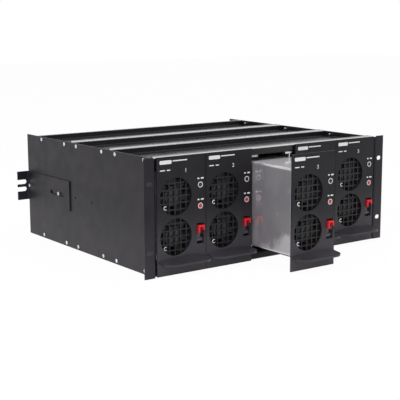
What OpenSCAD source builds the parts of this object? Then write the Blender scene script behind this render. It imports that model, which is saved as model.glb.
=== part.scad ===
// Four-unit rack power shelf with five plug-in power modules, one of them partly
// drawn out. X runs across the shelf, Y from front to rear and Z up. The origin is
// the middle of the plane on which the rack ears bear against the rack's rails.

/* [Shelf] */
// Width over the two rack ears
panel_w = 482.6; // [480:0.1:500]
// Height of the front: four rack units less the usual clearance
panel_h = 177; // [175:0.5:182]
// Depth from the front of the rear panel to the rear edges of the sides
rear_room = 37; // [34:0.5:60]
// Drop from the top of an ear to the top edge of its side sheet
side_drop = 1.6; // [1:0.1:3]
// Thickness of the sides, ears, brackets and face plates
sheet_t = 2; // [1.5:0.1:2.5]
// Inside radius of the folds
fold_r = 1.5; // [1:0.1:2]

/* [Rack ear slots] */
// Distance between the slots across the shelf
ear_slot_dx = 465.1; // [463:0.1:467]
// Distance between the slots up an ear
ear_slot_dz = 101.6; // [95:0.1:110]
// Length of a slot, across the shelf
ear_slot_l = 10.3; // [9:0.1:11]
// Height of a slot
ear_slot_h = 7; // [6:0.1:8]

/* [Cross pans] */
// Sheet thickness of the pans
pan_t = 1.5; // [1:0.1:2]
// Height of a pan from its floor to its lip
pan_h = 12; // [11:0.5:14]
// Gap between neighbouring pans, and between the last one and the rear panel
pan_gap = 1; // [0.5:0.1:3]
// Gap between the face plates and the first pan
pan_front = 2.5; // [1:0.5:4]
// Depth of the lip along a pan's front edge
lip_d = 12; // [8:1:16]
// How far a pan's rear flange stays below its lip
rear_flange_drop = 1; // [0.5:0.1:2]

/* [Bays] */
// Distance between neighbouring bays
bay_pitch = 88; // [87.5:0.1:88.5]
// Gap between neighbouring face plates
face_gap = 1; // [0.6:0.1:2]
// Gap between the outer bays and the side sheets
side_gap = 2; // [1.5:0.1:2.5]
// Gap between neighbouring cases, for the fin of a guide rail
case_gap = 2.6; // [2.2:0.1:3.2]
// Bay whose module is drawn out, counted from the left
drawn_bay = 3; // [1:1:5]
// How far that module is drawn out
drawn_out = 92; // [0:1:150]

/* [Guide rails] */
// Width of a rail's foot
rail_foot_w = 16; // [14:1:20]
// Width of the ledge that two neighbouring cases slide on
rail_ledge_w = 12; // [10:1:13]
// Height of the fin that stands between two cases
rail_fin_h = 10; // [6:1:14]
// Running gap between a ledge and a case
slide_gap = 0.3; // [0.2:0.1:0.6]

/* [Module case] */
// Height of the space under a case, from the bottom of the front
case_foot = 23.5; // [22.5:0.5:25]
// Height of a case
case_h = 132; // [130:0.5:134]
// Depth of a case
case_d = 330; // [322:1:336]
// Sheet thickness of a case
case_t = 1.2; // [0.8:0.1:1.5]
// Outside radius of the case's long folds
case_r = 4; // [3:0.5:6]
// Distance from the top and bottom of the front to a face plate
face_trim = 0.5; // [0.3:0.1:1]

/* [Handle] */
// Width of a handle
handle_w = 84; // [76:1:85]
// Reach of a handle in front of its face plate
handle_reach = 27; // [20:1:40]
// Thickness of a handle
handle_t = 3; // [2:0.5:4]
// Radius of a handle's front corners
handle_corner_r = 18; // [8:1:25]
// Width of the neck that passes through the face plate
neck_w = 78; // [70:1:80]
// Width of the tail under the case
tail_w = 70; // [50:1:74]
// Reach of the tail behind the face plate
tail_reach = 60; // [30:1:120]

/* [Fans] */
// Height left over inside a case above and below its two fans
fan_head = 9.2; // [8.8:0.2:14]
// Gap between the fans and the left wall of a case
fan_side_gap = 1.5; // [0.8:0.1:3]
// Width kept free for the latch and the indicators, right of the fans
latch_room = 21.5; // [20:0.5:25]
// Depth of a fan
fan_d = 25; // [22:1:28]
// Gap between the two fans of a module
fan_gap = 0.4; // [0.2:0.1:1]
// Drop of the pair of fans below the middle of the case
fan_drop = 2.8; // [1:0.1:3.2]
// Thickness of a fan's frame beside its air passage
fan_rim = 1.4; // [1.2:0.1:2.5]
// Ledge that a face plate leaves round an air passage
face_ledge = 0.6; // [0.4:0.1:2]
// Diameter of a rotor's hub
hub_d = 31; // [26:0.5:34]
// Number of blades on a rotor
blade_count = 7; // [5:1:9]
// Thickness of a blade
blade_t = 1.3; // [1:0.1:1.6]
// Lean of a blade from the fan's axis
blade_lean = 48; // [40:1:55]
// Gap between the tips of the blades and the air passage
tip_gap = 1.2; // [0.8:0.1:2]
// Diameter of a rotor's shaft
shaft_d = 3; // [2:0.1:4]
// Running clearance round shafts and pins, on the radius
running_gap = 0.05; // [0.03:0.01:0.1]

/* [Finger guards] */
// Thickness of a guard
guard_t = 3; // [2:0.5:4]
// Depth of the grid behind the front of a guard
guard_recess = 1; // [0.5:0.1:1.5]
// Distance between the bars of the grid
grid_pitch = 10; // [8:0.5:12]
// Width of a bar
grid_bar = 2.2; // [1.5:0.1:3]

/* [Latch] */
// Width of the slot for the latch lever
latch_slot_w = 13; // [12:0.5:14]
// Height of the slot
latch_slot_h = 31; // [29:1:34]
// Height of the foot of the slot above the foot of a case
latch_rise = 18; // [16:0.5:20]
// Diameter of the lever's pivot pin
pivot_d = 3; // [2:0.1:3.5]
// Gap on each side of the lever
lever_gap = 0.7; // [0.4:0.1:1]
// Reach of the lever's grip in front of the face plate
grip_reach = 8; // [6:0.5:12]

/* [Indicators] */
// Diameter of an indicator
indicator_d = 5; // [3:0.5:6]
// Height of the upper indicator above the foot of a case
indicator_rise = 107; // [100:0.5:112]
// Distance between the two indicators
indicator_step = 31.7; // [25:0.1:36]

/* [Rear brackets] */
// Length of a bracket along the side
bracket_l = 150; // [140:1:160]
// Height of a bracket
bracket_h = 50; // [44:1:60]
// Drop of the brackets below the middle of the shelf
bracket_drop = 2.5; // [0:0.5:10]
// Reach of a bracket's flange from the side sheet
bracket_reach = 22; // [18:1:26]
// Distance between the two open slots of a flange
bracket_slot_step = 12.7; // [12:0.1:16]
// Height of an open slot
bracket_slot_h = 8; // [6:0.1:8.5]
// Distance between the holes along a side sheet
side_hole_step = 53; // [50:0.5:54]

/* [Screws] */
// Diameter of the screws
screw_d = 3; // [2.5:0.1:3.5]
// Clearance of a screw in its hole, on the radius
screw_gap = 0.2; // [0.1:0.05:0.3]
// Diameter of a screw's head
screw_head_d = 5.8; // [5:0.1:6.2]
// Height of a screw's head
screw_head_h = 2; // [1.5:0.1:2.4]
// Length of a pan screw under its head
screw_l = 8; // [7:0.5:10]
// Length of a bracket screw under its head
bracket_screw_l = 6; // [5:0.5:6.5]
// Distance of the pan screws from the top and bottom of the front
screw_edge = 6; // [5.5:0.1:7]
// Distance of a pan's first screws from its front edge
screw_in = 21.5; // [15:0.5:28]
// Distance of a pan's last screws from its rear edge
screw_rear = 17; // [12:0.5:24]

/* [Rear connections] */
// Width of a module's plug
plug_w = 48; // [40:1:50]
// Height of a module's plug
plug_h = 20; // [16:1:24]
// Reach of the plug behind its case
plug_reach = 12; // [8:1:14]
// Clearance of a plug in its socket, on each side
plug_gap = 0.6; // [0.4:0.1:1]
// Height of the middle of a plug above the foot of a case
plug_rise = 25; // [23:0.5:29]
// Gap between a case and the socket behind it
socket_gap = 3; // [2:0.5:5]
// Depth of a socket before the rear panel
socket_d = 28; // [24:1:36]
// Height of a bus bar
bar_h = 16; // [14:1:18]
// Thickness of a bus bar
bar_t = 5; // [4:0.5:6]
// Gap between the two bus bars
bar_gap = 4; // [3:0.5:8]
// Diameter of the bolt holes in the bus bars
bar_hole_d = 6.6; // [5:0.1:8]
// Distance between those holes
bar_hole_step = 25; // [20:1:40]
// Diameter of the holes for the input cables
cable_hole_d = 20; // [14:1:22]
// Height of those holes above the foot of the shelf
cable_hole_rise = 18.5; // [17:0.5:19]

/* [Hidden] */
$fn = 64;
BAYS = [1:5];
PANS = [0, 1, 2];
SIDES = [-1, 1];

SHELF_NODES = ["side_left", "side_right", "top_pans", "bottom_pans", "guide_rails",
    "rear_panel", "sockets", "bus_bars", "rear_brackets", "screws"];
MODULE_NODES = ["face_plate", "handle", "case", "latch", "finger_guards", "fan_frames",
    "upper_rotor", "lower_rotor", "indicators", "power_deck"];

// Colours
BLACK = [0.2, 0.19, 0.21];
PLASTIC = [0.12, 0.12, 0.13];
CASE_GREY = [0.62, 0.61, 0.63];
ZINC = [0.8, 0.8, 0.8];
COPPER = [0.78, 0.48, 0.3];
RED = [0.85, 0.12, 0.14];
BOARD_GREEN = [0.1, 0.35, 0.2];

// The front, the rear and the side sheets
base_z = -panel_h / 2;
socket_front = case_d + socket_gap;
rear_panel_y = socket_front + socket_d;
rear_y = rear_panel_y + rear_room;
side_in = 5 * bay_pitch / 2 + side_gap;
side_out = side_in + sheet_t;
side_h = panel_h - side_drop;
fold_out = fold_r + sheet_t;
flange_w = 12;

// The pans and the rear panel
pan_pitch = (rear_panel_y - pan_front) / len(PANS);
pan_d = pan_pitch - pan_gap;
pan_fold = fold_r + pan_t;
pan_z = panel_h / 2 - pan_h;
pan_end_h = pan_h - side_drop - 0.5;
pan_relief = 2;
screw_z = panel_h / 2 - screw_edge;
screw_hole_d = screw_d + 2 * screw_gap;
vent_count = 7;
vent_pitch = 10;
vent_w = 5;
vent_h = 62;

// The module and what it slides on
case_w = bay_pitch - case_gap;
case_z = base_z + case_foot;
case_mid_z = case_z + case_h / 2;
face_w = bay_pitch - face_gap;
face_h = panel_h - 2 * face_trim;
rail_t = 1.5;
rail_stem_t = 3;
rail_fin_t = 1;
rail_start = pan_front + 1.5;
rail_z = -pan_z;
rail_top = case_z - slide_gap;
vent_z = case_mid_z + 25;
cable_hole_z = base_z + cable_hole_rise;

// The fans
fan_size = min((case_h - 2 * case_t - fan_gap - fan_head) / 2,
    case_w - 2 * case_t - fan_side_gap - latch_room);
fan_bore = fan_size - 2 * fan_rim;
face_opening_d = fan_bore - 2 * face_ledge;
fan_left = case_w / 2 - case_t - fan_side_gap - fan_size / 2;
fan_z = case_mid_z - fan_drop;
fan_step = fan_size + fan_gap;
fan_y = guard_t;
fan_flange_t = 4;
strut_t = 3;
strut_w = 4;
hub_front = fan_y + 1.5;
hub_rear = fan_y + fan_d - strut_t - 1.5;
hub_wall = 1.5;
hub_round = 2;
tip_r = fan_bore / 2 - tip_gap;
bearing_d = 8;
bearing_bore_d = shaft_d + 2 * running_gap;

// The latch
cheek_t = 1;
cheek_reach = 9;
latch_x = case_w / 2 - case_t - 0.2 - cheek_t - latch_slot_w / 2;
lever_w = latch_slot_w - 2 * lever_gap;
slot_bottom = case_z + latch_rise;
indicator_top = case_z + indicator_rise;
pivot_y = 4.5;
pivot_z = slot_bottom + 5;
lever_h = latch_slot_h - 8;
lever_t = 3;
grip_h = 11;

// The rear connections
bar_stack_h = 2 * bar_h + bar_gap;
boss_w = plug_w + 6;
socket_w = boss_w + 12;
socket_h = bar_stack_h + 8;
socket_back = rear_panel_y + pan_t + 4;
plug_z = case_z + plug_rise;
bar_l = 4 * bay_pitch + 60;

// The power deck
board_side_gap = 3;
board_front_gap = 22;
board_rear_gap = 2;
board_t = 1.6;
solder_gap = 0.1;
post_h = 4;
post_d = 6;
post_in = 8;
sink_head = 34;
sink_t = 4;
sink_foot = 6;
fin_w = 26;
fin_t = 2;
transformer_w = 30;
capacitor_d = 26;
plug_body_d = 24;
plug_body_gap = 0.5;

// A rectangle from the origin with four round corners
module round_rect(w, h, r) {
    translate([r, 0]) square([w - 2 * r, h]);
    translate([0, r]) square([w, h - 2 * r]);
    for (x = [r, w - r], y = [r, h - r]) translate([x, y]) circle(r);
}

// The section of a folded sheet: a ring of thickness t with inside radius r
module sheet_ring(w, h, t, r) {
    difference() {
        round_rect(w, h, r + t);
        translate([t, t]) round_rect(w - 2 * t, h - 2 * t, r);
    }
}

// Extrudes an outline drawn in Y and Z across the shelf, centred on X = 0
module across(w) {
    translate([-w / 2, 0, 0]) rotate([90, 0, 90]) linear_extrude(w) children();
}

// Extrudes an outline drawn in X and Z rearwards from Y = 0
module rearwards(d) {
    translate([0, d, 0]) rotate([90, 0, 0]) linear_extrude(d) children();
}

// A round bar along Y, from Y = 0
module bar_y(d, l) {
    rotate([-90, 0, 0]) cylinder(d = d, h = l);
}

// A slot with round ends along X, cut along Y from Y = 0
module slot_y(l, h, depth) {
    for (s = SIDES) translate([s * (l - h) / 2, 0, 0]) bar_y(h, depth);
    translate([-(l - h) / 2, 0, -h / 2]) cube([l - h, depth, h]);
}

// Puts a part of a module into its bay
module in_bay(k) {
    out = k == drawn_bay ? drawn_out : 0;
    translate([(k - 3) * bay_pitch, -out, 0]) children();
}

// Places its children at every pan screw of one side
module at_pan_screws() {
    for (p = PANS, y = [screw_in, pan_d - screw_rear], z = [-screw_z, screw_z])
        translate([0, pan_front + p * pan_pitch + y, z]) children();
}

function side_hole_y(i) = rear_y - 7.5 - i * side_hole_step;

/* Shelf */

module side_outline() {
    translate([side_in, fold_r]) square([sheet_t, rear_y - fold_r]);
    translate([side_in + fold_out, fold_r]) intersection() {
        difference() {
            circle(fold_out);
            circle(fold_r);
        }
        translate([-fold_out, -fold_out]) square(fold_out);
    }
}

// The right side with its ear, folded from one sheet
module right_side() {
    difference() {
        union() {
            translate([0, 0, base_z]) linear_extrude(side_h) side_outline();
            translate([side_in + fold_out, -sheet_t, base_z])
                cube([panel_w / 2 - side_in - fold_out, sheet_t, panel_h]);
        }
        for (z = [-1, 1]) translate([ear_slot_dx / 2, -sheet_t - 1, z * ear_slot_dz / 2])
            slot_y(ear_slot_l, ear_slot_h, sheet_t + 2);
        translate([side_in - 1, 0, 0]) at_pan_screws()
            rotate([0, 90, 0]) cylinder(d = screw_hole_d, h = sheet_t + 2);
        for (i = [0:4]) translate([side_in - 1, side_hole_y(i), -bracket_drop])
            rotate([0, 90, 0]) cylinder(d = screw_hole_d, h = sheet_t + 2);
    }
}

module side_left() {
    color(BLACK) mirror([1, 0, 0]) right_side();
}

module side_right() {
    color(BLACK) right_side();
}

// Section of a pan in Y and Z: floor, front flange with its lip, rear flange
module pan_outline() {
    intersection() {
        sheet_ring(pan_d, pan_h, pan_t, fold_r);
        union() {
            square([pan_d / 2, pan_h / 2]);
            square([lip_d, pan_h]);
        }
    }
    intersection() {
        sheet_ring(pan_d, 2 * pan_h, pan_t, fold_r);
        translate([pan_d / 2, 0]) square([pan_d / 2, pan_h - rear_flange_drop]);
    }
}

// Section of a pan's two end flanges in X and Z
module pan_end_outline() {
    intersection() {
        translate([-side_in, 0]) sheet_ring(2 * side_in, 2 * pan_h, pan_t, fold_r);
        for (s = SIDES) translate([s * (side_in - pan_fold / 2) - pan_fold / 2, 0])
            square([pan_fold, pan_end_h]);
    }
}

// One pan on its floor, with its front edge at Y = 0
module pan() {
    end_in = pan_fold;
    end_l = pan_d - 2 * end_in - 2 * pan_relief;
    difference() {
        union() {
            difference() {
                across(2 * side_in) pan_outline();
                for (s = SIDES) translate([s * side_in - pan_fold, end_in, -1])
                    cube([2 * pan_fold, pan_d - 2 * end_in, pan_h + 2]);
            }
            translate([0, end_in + pan_relief, 0]) rearwards(end_l) pan_end_outline();
        }
        for (y = [screw_in, pan_d - screw_rear])
            translate([-side_in - 1, y, pan_h - screw_edge])
                rotate([0, 90, 0]) cylinder(d = screw_hole_d, h = 2 * side_in + 2);
    }
}

module top_pans() {
    color(BLACK) for (p = PANS) translate([0, pan_front + p * pan_pitch, pan_z]) pan();
}

module bottom_pans() {
    color(BLACK) mirror([0, 0, 1])
        for (p = PANS) translate([0, pan_front + p * pan_pitch, pan_z]) pan();
}

// Section of a guide rail: foot, stem, ledge and fin
module rail_outline() {
    rise = rail_top - rail_z;
    translate([-rail_foot_w / 2, 0]) square([rail_foot_w, rail_t]);
    translate([-rail_stem_t / 2, 0]) square([rail_stem_t, rise]);
    translate([-rail_ledge_w / 2, rise - rail_t]) square([rail_ledge_w, rail_t]);
    translate([-rail_fin_t / 2, rise - rail_t]) square([rail_fin_t, rail_t + rail_fin_h]);
}

module guide_rails() {
    rail_l = rear_panel_y - pan_gap - rail_start;
    color(ZINC) translate([0, rail_start, rail_z]) rearwards(rail_l) intersection() {
        for (b = [0:5]) translate([(b - 2.5) * bay_pitch, 0]) rail_outline();
        translate([-side_in, 0]) square([2 * side_in, panel_h]);
    }
}

// Upright panel behind the pans, with air slots, cable holes and socket openings
module rear_panel() {
    h = side_h - 1;
    color(BLACK) difference() {
        translate([-side_in, rear_panel_y, base_z + 0.5]) linear_extrude(h) intersection() {
            sheet_ring(2 * side_in, 3 * flange_w, pan_t, fold_r);
            square([2 * side_in, flange_w]);
        }
        for (k = BAYS) translate([(k - 3) * bay_pitch, rear_panel_y - 1, 0]) {
            for (i = [1:vent_count])
                translate([(i - (vent_count + 1) / 2) * vent_pitch - vent_w / 2, 0,
                    vent_z - vent_h / 2]) cube([vent_w, pan_t + 2, vent_h]);
            translate([-boss_w / 2 - 0.2, 0, plug_z - bar_stack_h / 2 - 0.2])
                cube([boss_w + 0.4, pan_t + 2, bar_stack_h + 0.4]);
            translate([0, 0, cable_hole_z]) bar_y(cable_hole_d, pan_t + 2);
        }
    }
}

// One socket: a housing before the rear panel and a boss through it
module socket() {
    cavity_w = plug_w + 2 * plug_gap;
    cavity_h = plug_h + 2 * plug_gap;
    cavity_d = plug_reach + 1 - socket_gap;
    difference() {
        union() {
            translate([-socket_w / 2, socket_front, -socket_h / 2])
                cube([socket_w, rear_panel_y - socket_front, socket_h]);
            translate([-boss_w / 2, rear_panel_y - 1, -bar_stack_h / 2])
                cube([boss_w, socket_back - rear_panel_y + 1, bar_stack_h]);
        }
        translate([-cavity_w / 2, socket_front - 1, -cavity_h / 2])
            cube([cavity_w, cavity_d + 1, cavity_h]);
    }
}

module sockets() {
    color(PLASTIC) for (k = BAYS) translate([(k - 3) * bay_pitch, 0, plug_z]) socket();
}

module bus_bars() {
    color(COPPER) for (s = SIDES)
        translate([0, socket_back, plug_z + s * (bar_h + bar_gap) / 2]) difference() {
            translate([-bar_l / 2, 0, -bar_h / 2]) cube([bar_l, bar_t, bar_h]);
            for (i = [0, 1]) translate([bar_l / 2 - 10 - i * bar_hole_step, -1, 0])
                bar_y(bar_hole_d, bar_t + 2);
        }
}

// The right bracket: a plate on the side with a flange turned outwards
module right_bracket() {
    slot_in = 3 + sheet_t;
    slot_at = side_hole_y(2) + 5;
    slot_l = 47.5;
    difference() {
        translate([side_out, 0, -bracket_h / 2]) linear_extrude(bracket_h) {
            translate([0, rear_y - bracket_l]) square([sheet_t, bracket_l - fold_out]);
            translate([fold_out, rear_y - sheet_t]) square([bracket_reach - fold_out, sheet_t]);
            translate([fold_out, rear_y - fold_out]) intersection() {
                difference() {
                    circle(fold_out);
                    circle(fold_r);
                }
                translate([-fold_out, 0]) square(fold_out);
            }
        }
        for (s = SIDES) translate([side_out + slot_in + bracket_slot_h / 2,
                rear_y - sheet_t - 1, s * bracket_slot_step / 2]) {
            bar_y(bracket_slot_h, sheet_t + 2);
            translate([0, 0, -bracket_slot_h / 2])
                cube([bracket_reach, sheet_t + 2, bracket_slot_h]);
        }
        translate([side_out - 1, slot_at, 0]) rotate([0, 0, -90]) slot_y(slot_l, 7, sheet_t + 2);
        translate([side_out - 1, side_hole_y(0), 0])
            rotate([0, 90, 0]) cylinder(d = screw_hole_d, h = sheet_t + 2);
    }
}

module rear_brackets() {
    color(BLACK) translate([0, 0, -bracket_drop]) {
        right_bracket();
        mirror([1, 0, 0]) right_bracket();
    }
}

// A pan-head screw with a cross recess, its seat at X = 0 and its head towards +X
module screw(length) {
    recess = screw_head_h * 0.55;
    rotate([0, 90, 0]) difference() {
        union() {
            intersection() {
                cylinder(d = screw_head_d, h = screw_head_h);
                translate([0, 0, screw_head_h - screw_head_d]) sphere(screw_head_d);
            }
            translate([0, 0, -length]) cylinder(d = screw_d, h = length + 0.1);
        }
        for (a = [0, 90]) rotate(a) translate([-1.5, -0.35, screw_head_h - recess])
            cube([3, 0.7, screw_head_h]);
    }
}

// The screws of one side: the pans' and the bracket's two
module right_screws() {
    translate([side_out, 0, 0]) at_pan_screws() screw(screw_l);
    for (i = [0, 2]) translate([side_out + sheet_t, side_hole_y(i), -bracket_drop])
        screw(bracket_screw_l);
}

module screws() {
    color(ZINC) {
        right_screws();
        mirror([1, 0, 0]) right_screws();
    }
}

/* Power module, with the rear of its face plate at Y = 0 */

// Places its children at the middle of each fan
module at_fans() {
    for (s = SIDES) translate([-fan_left, 0, fan_z + s * fan_step / 2]) children();
}

module face_plate() {
    color(BLACK) {
        difference() {
            translate([-face_w / 2, -sheet_t, -face_h / 2]) cube([face_w, sheet_t, face_h]);
            translate([0, -sheet_t - 1, 0]) at_fans() bar_y(face_opening_d, sheet_t + 2);
            translate([latch_x - latch_slot_w / 2, -sheet_t - 1, slot_bottom])
                cube([latch_slot_w, sheet_t + 2, latch_slot_h]);
            for (i = [0, 1])
                translate([latch_x, -sheet_t - 1, indicator_top - i * indicator_step])
                    bar_y(indicator_d + 0.3, sheet_t + 2);
            translate([-neck_w / 2 - 0.1, -sheet_t - 1, case_z - handle_t - 0.1])
                cube([neck_w + 0.2, sheet_t + 2, handle_t + 0.1]);
        }
        // Cheeks for the latch, with its pin
        for (s = SIDES) translate([latch_x + s * (latch_slot_w + cheek_t) / 2 - cheek_t / 2,
                -sheet_t / 2, slot_bottom]) cube([cheek_t, cheek_reach + sheet_t / 2, 12]);
        translate([latch_x - latch_slot_w / 2 - cheek_t, pivot_y, pivot_z])
            rotate([0, 90, 0]) cylinder(d = pivot_d, h = latch_slot_w + 2 * cheek_t);
    }
}

module handle() {
    color(BLACK) translate([0, 0, case_z - handle_t]) linear_extrude(handle_t) {
        translate([-handle_w / 2, -sheet_t - handle_reach]) intersection() {
            round_rect(handle_w, handle_reach + handle_corner_r, handle_corner_r);
            square([handle_w, handle_reach]);
        }
        translate([-neck_w / 2, -sheet_t]) square([neck_w, sheet_t]);
        translate([-tail_w / 2, 0]) square([tail_w, tail_reach]);
    }
}

// Wrapped case, open at the front, with air slots and a plug opening in its rear wall
module case() {
    color(CASE_GREY) difference() {
        union() {
            translate([-case_w / 2, 0, case_z]) rearwards(case_d)
                sheet_ring(case_w, case_h, case_t, case_r - case_t);
            translate([-case_w / 2, case_d - case_t, case_z]) rearwards(case_t)
                round_rect(case_w, case_h, case_r);
        }
        for (i = [1:vent_count - 1])
            translate([(i - vent_count / 2) * vent_pitch - vent_w / 2,
                case_d - case_t - 1, vent_z - vent_h / 2]) cube([vent_w, case_t + 2, vent_h]);
        translate([-plug_w / 2 - 0.3, case_d - case_t - 1, plug_z - plug_h / 2 - 0.3])
            cube([plug_w + 0.6, case_t + 2, plug_h + 0.6]);
    }
}

// Latch lever on its pin: arm, grip that stands forward, and hook behind the pin
module latch() {
    boss_d = pivot_d + 4;
    color(RED) translate([latch_x, pivot_y, pivot_z]) across(lever_w) difference() {
        union() {
            circle(d = boss_d);
            translate([-lever_t / 2, 0]) square([lever_t, lever_h]);
            translate([-pivot_y - sheet_t - grip_reach, lever_h - grip_h])
                round_rect(grip_reach + sheet_t + pivot_y + lever_t / 2, grip_h, 2.5);
            translate([0, -boss_d / 2]) square([7, lever_t]);
        }
        circle(d = pivot_d + 2 * running_gap);
        translate([-pivot_y - sheet_t - grip_reach + 4, lever_h - grip_h - 1])
            round_rect(grip_reach + sheet_t + pivot_y - lever_t / 2 - 4, grip_h - 2, 2);
    }
}

// Moulded square with a square grid across its round passage
module finger_guard() {
    reach = floor(face_opening_d / 2 / grid_pitch) * grid_pitch;
    difference() {
        translate([-fan_size / 2, 0, -fan_size / 2]) cube([fan_size, guard_t, fan_size]);
        translate([0, -1, 0]) bar_y(face_opening_d, guard_t + 2);
    }
    intersection() {
        translate([0, guard_recess, 0]) bar_y(face_opening_d + 0.5, guard_t - guard_recess);
        union() for (a = [-reach:grid_pitch:reach]) {
            translate([a - grid_bar / 2, 0, -fan_size / 2]) cube([grid_bar, guard_t, fan_size]);
            translate([-fan_size / 2, 0, a - grid_bar / 2]) cube([fan_size, guard_t, grid_bar]);
        }
    }
}

module finger_guards() {
    color(PLASTIC) at_fans() finger_guard();
}

// Square fan frame with two flanges, four struts and the bearing tube
module fan_frame() {
    hole_at = fan_size / 2 - 5;
    base_y = fan_y + fan_d - strut_t;
    tube_l = base_y - hub_front - hub_wall - 1;
    difference() {
        union() {
            for (y = [fan_y, fan_y + fan_d - fan_flange_t])
                translate([-fan_size / 2, y, -fan_size / 2])
                    cube([fan_size, fan_flange_t, fan_size]);
            translate([0, fan_y, 0]) bar_y(fan_size - 0.2, fan_d);
        }
        translate([0, fan_y - 1, 0]) bar_y(fan_bore, fan_d + 2);
        for (x = SIDES, z = SIDES) translate([x * hole_at, fan_y - 1, z * hole_at])
            bar_y(4.3, fan_d + 2);
    }
    difference() {
        union() {
            translate([0, base_y, 0]) rearwards(strut_t) {
                circle(d = hub_d);
                for (a = [45, 135]) rotate(a) square([fan_bore + 1, strut_w], center = true);
            }
            translate([0, base_y - tube_l, 0]) bar_y(bearing_d, tube_l + 1);
        }
        translate([0, base_y - tube_l - 1, 0]) bar_y(bearing_bore_d, tube_l + 2);
    }
}

module fan_frames() {
    color(PLASTIC) at_fans() fan_frame();
}

// One cambered blade, cut to the hub and to the tip circle
module blade() {
    chord_r = 16;
    difference() {
        intersection() {
            translate([0, (hub_front + hub_rear) / 2, 0]) rotate([90, 0, 90])
                linear_extrude(tip_r + 1) rotate(blade_lean) translate([0, -chord_r + 2])
                    intersection() {
                        difference() {
                            circle(chord_r);
                            circle(chord_r - blade_t);
                        }
                        translate([-9.5, 0]) square([19, chord_r + 1]);
                    }
            translate([0, hub_front + 0.5, 0]) bar_y(2 * tip_r, hub_rear - hub_front - 1);
        }
        translate([0, fan_y, 0]) bar_y(hub_d - 1, fan_d);
    }
}

// Rotor: hub cup with a round front edge, blades and shaft
module rotor() {
    r = hub_d / 2;
    depth = hub_rear - hub_front;
    translate([0, hub_front, 0]) rotate([-90, 0, 0]) rotate_extrude() difference() {
        union() {
            square([r - hub_round, depth]);
            translate([0, hub_round]) square([r, depth - hub_round]);
            translate([r - hub_round, hub_round]) circle(hub_round);
        }
        translate([shaft_d / 2, hub_wall]) square([r - hub_wall - shaft_d / 2, depth]);
    }
    for (i = [1:blade_count]) rotate([0, i * 360 / blade_count, 0]) blade();
}

module upper_rotor() {
    color(PLASTIC) translate([-fan_left, 0, fan_z + fan_step / 2]) rotor();
}

module lower_rotor() {
    color(PLASTIC) translate([-fan_left, 0, fan_z - fan_step / 2]) rotor();
}

// Two indicator lights, each with a collar behind the face plate
module indicators() {
    color(RED) for (i = [0, 1])
        translate([latch_x, 0, indicator_top - i * indicator_step]) {
            translate([0, -sheet_t - 0.6, 0]) bar_y(indicator_d, sheet_t + 7);
            bar_y(indicator_d + 2, 1.5);
        }
}

// What the case holds: board on posts, heat sink, transformer, capacitors and plug
module power_deck() {
    floor_z = case_z + case_t;
    board_w = case_w - 2 * case_t - 2 * board_side_gap;
    board_y = fan_y + fan_d + board_front_gap;
    board_l = case_d - case_t - board_rear_gap - board_y;
    board_z = floor_z + post_h;
    deck_z = board_z + board_t + solder_gap;
    sink_l = board_l / 2;
    sink_h = case_z + case_h - case_t - sink_head - deck_z;
    fin_pitch = (sink_h - sink_foot) / 6;
    transformer_l = sink_l / 3;
    transformer_h = sink_h * 0.42;
    capacitor_y = board_y + sink_l * 0.76;
    plug_top = plug_z + plug_h / 2;
    color(BOARD_GREEN) {
        translate([-board_w / 2, board_y, board_z]) cube([board_w, board_l, board_t]);
        for (s = SIDES, y = [board_y + post_in, board_y + board_l - post_in])
            translate([s * (board_w / 2 - post_d), y, floor_z])
                cylinder(d = post_d, h = post_h + board_t / 2);
    }
    color(ZINC) translate([-board_w / 2, board_y + 2 * post_in, deck_z]) {
        cube([sink_t, sink_l, sink_h]);
        for (i = [0:5]) translate([0, 0, sink_foot + i * fin_pitch]) cube([fin_w, sink_l, fin_t]);
    }
    color(COPPER) translate([board_w / 2 - transformer_w - post_in, board_y + 3 * post_in, deck_z])
        cube([transformer_w, transformer_l, transformer_h]);
    color(BLACK) for (i = [0, 1])
        translate([board_w / 2 - capacitor_d / 2 - post_in,
            capacitor_y + i * (capacitor_d + post_d), deck_z])
            cylinder(d = capacitor_d, h = transformer_h * 1.3);
    color(PLASTIC) {
        translate([-plug_w / 2, case_d - case_t - plug_body_gap - plug_body_d, deck_z])
            cube([plug_w, plug_body_d, plug_top - deck_z]);
        translate([-plug_w / 2, case_d - case_t - 2 * plug_body_gap, plug_z - plug_h / 2])
            cube([plug_w, plug_reach + case_t + 2 * plug_body_gap, plug_h]);
    }
}

side_left();
side_right();
top_pans();
bottom_pans();
guide_rails();
rear_panel();
sockets();
bus_bars();
rear_brackets();
screws();
for (k = BAYS) in_bay(k) {
    face_plate();
    handle();
    case();
    latch();
    finger_guards();
    fan_frames();
    upper_rotor();
    lower_rotor();
    indicators();
    power_deck();
}
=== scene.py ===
# %% [markdown]
# # A rack power shelf
#
# The shelf's solids come from its CAD source, already in place and in metres. In this
# lesson they get their finishes: satin paint on folded sheet, semi-bright plate round
# the drawn module, moulded plastic, copper and small lights. The printed marks and the
# wire clips of the finger guards are too fine for the solids and are modelled here, and
# so are the upper guide rails. The handles and the latch levers are modelled once more,
# in shapes nearer to the real ones than the solids have.

# %% Load the frame
import math

import bmesh
import bpy
from mathutils import Matrix, Vector


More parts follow.
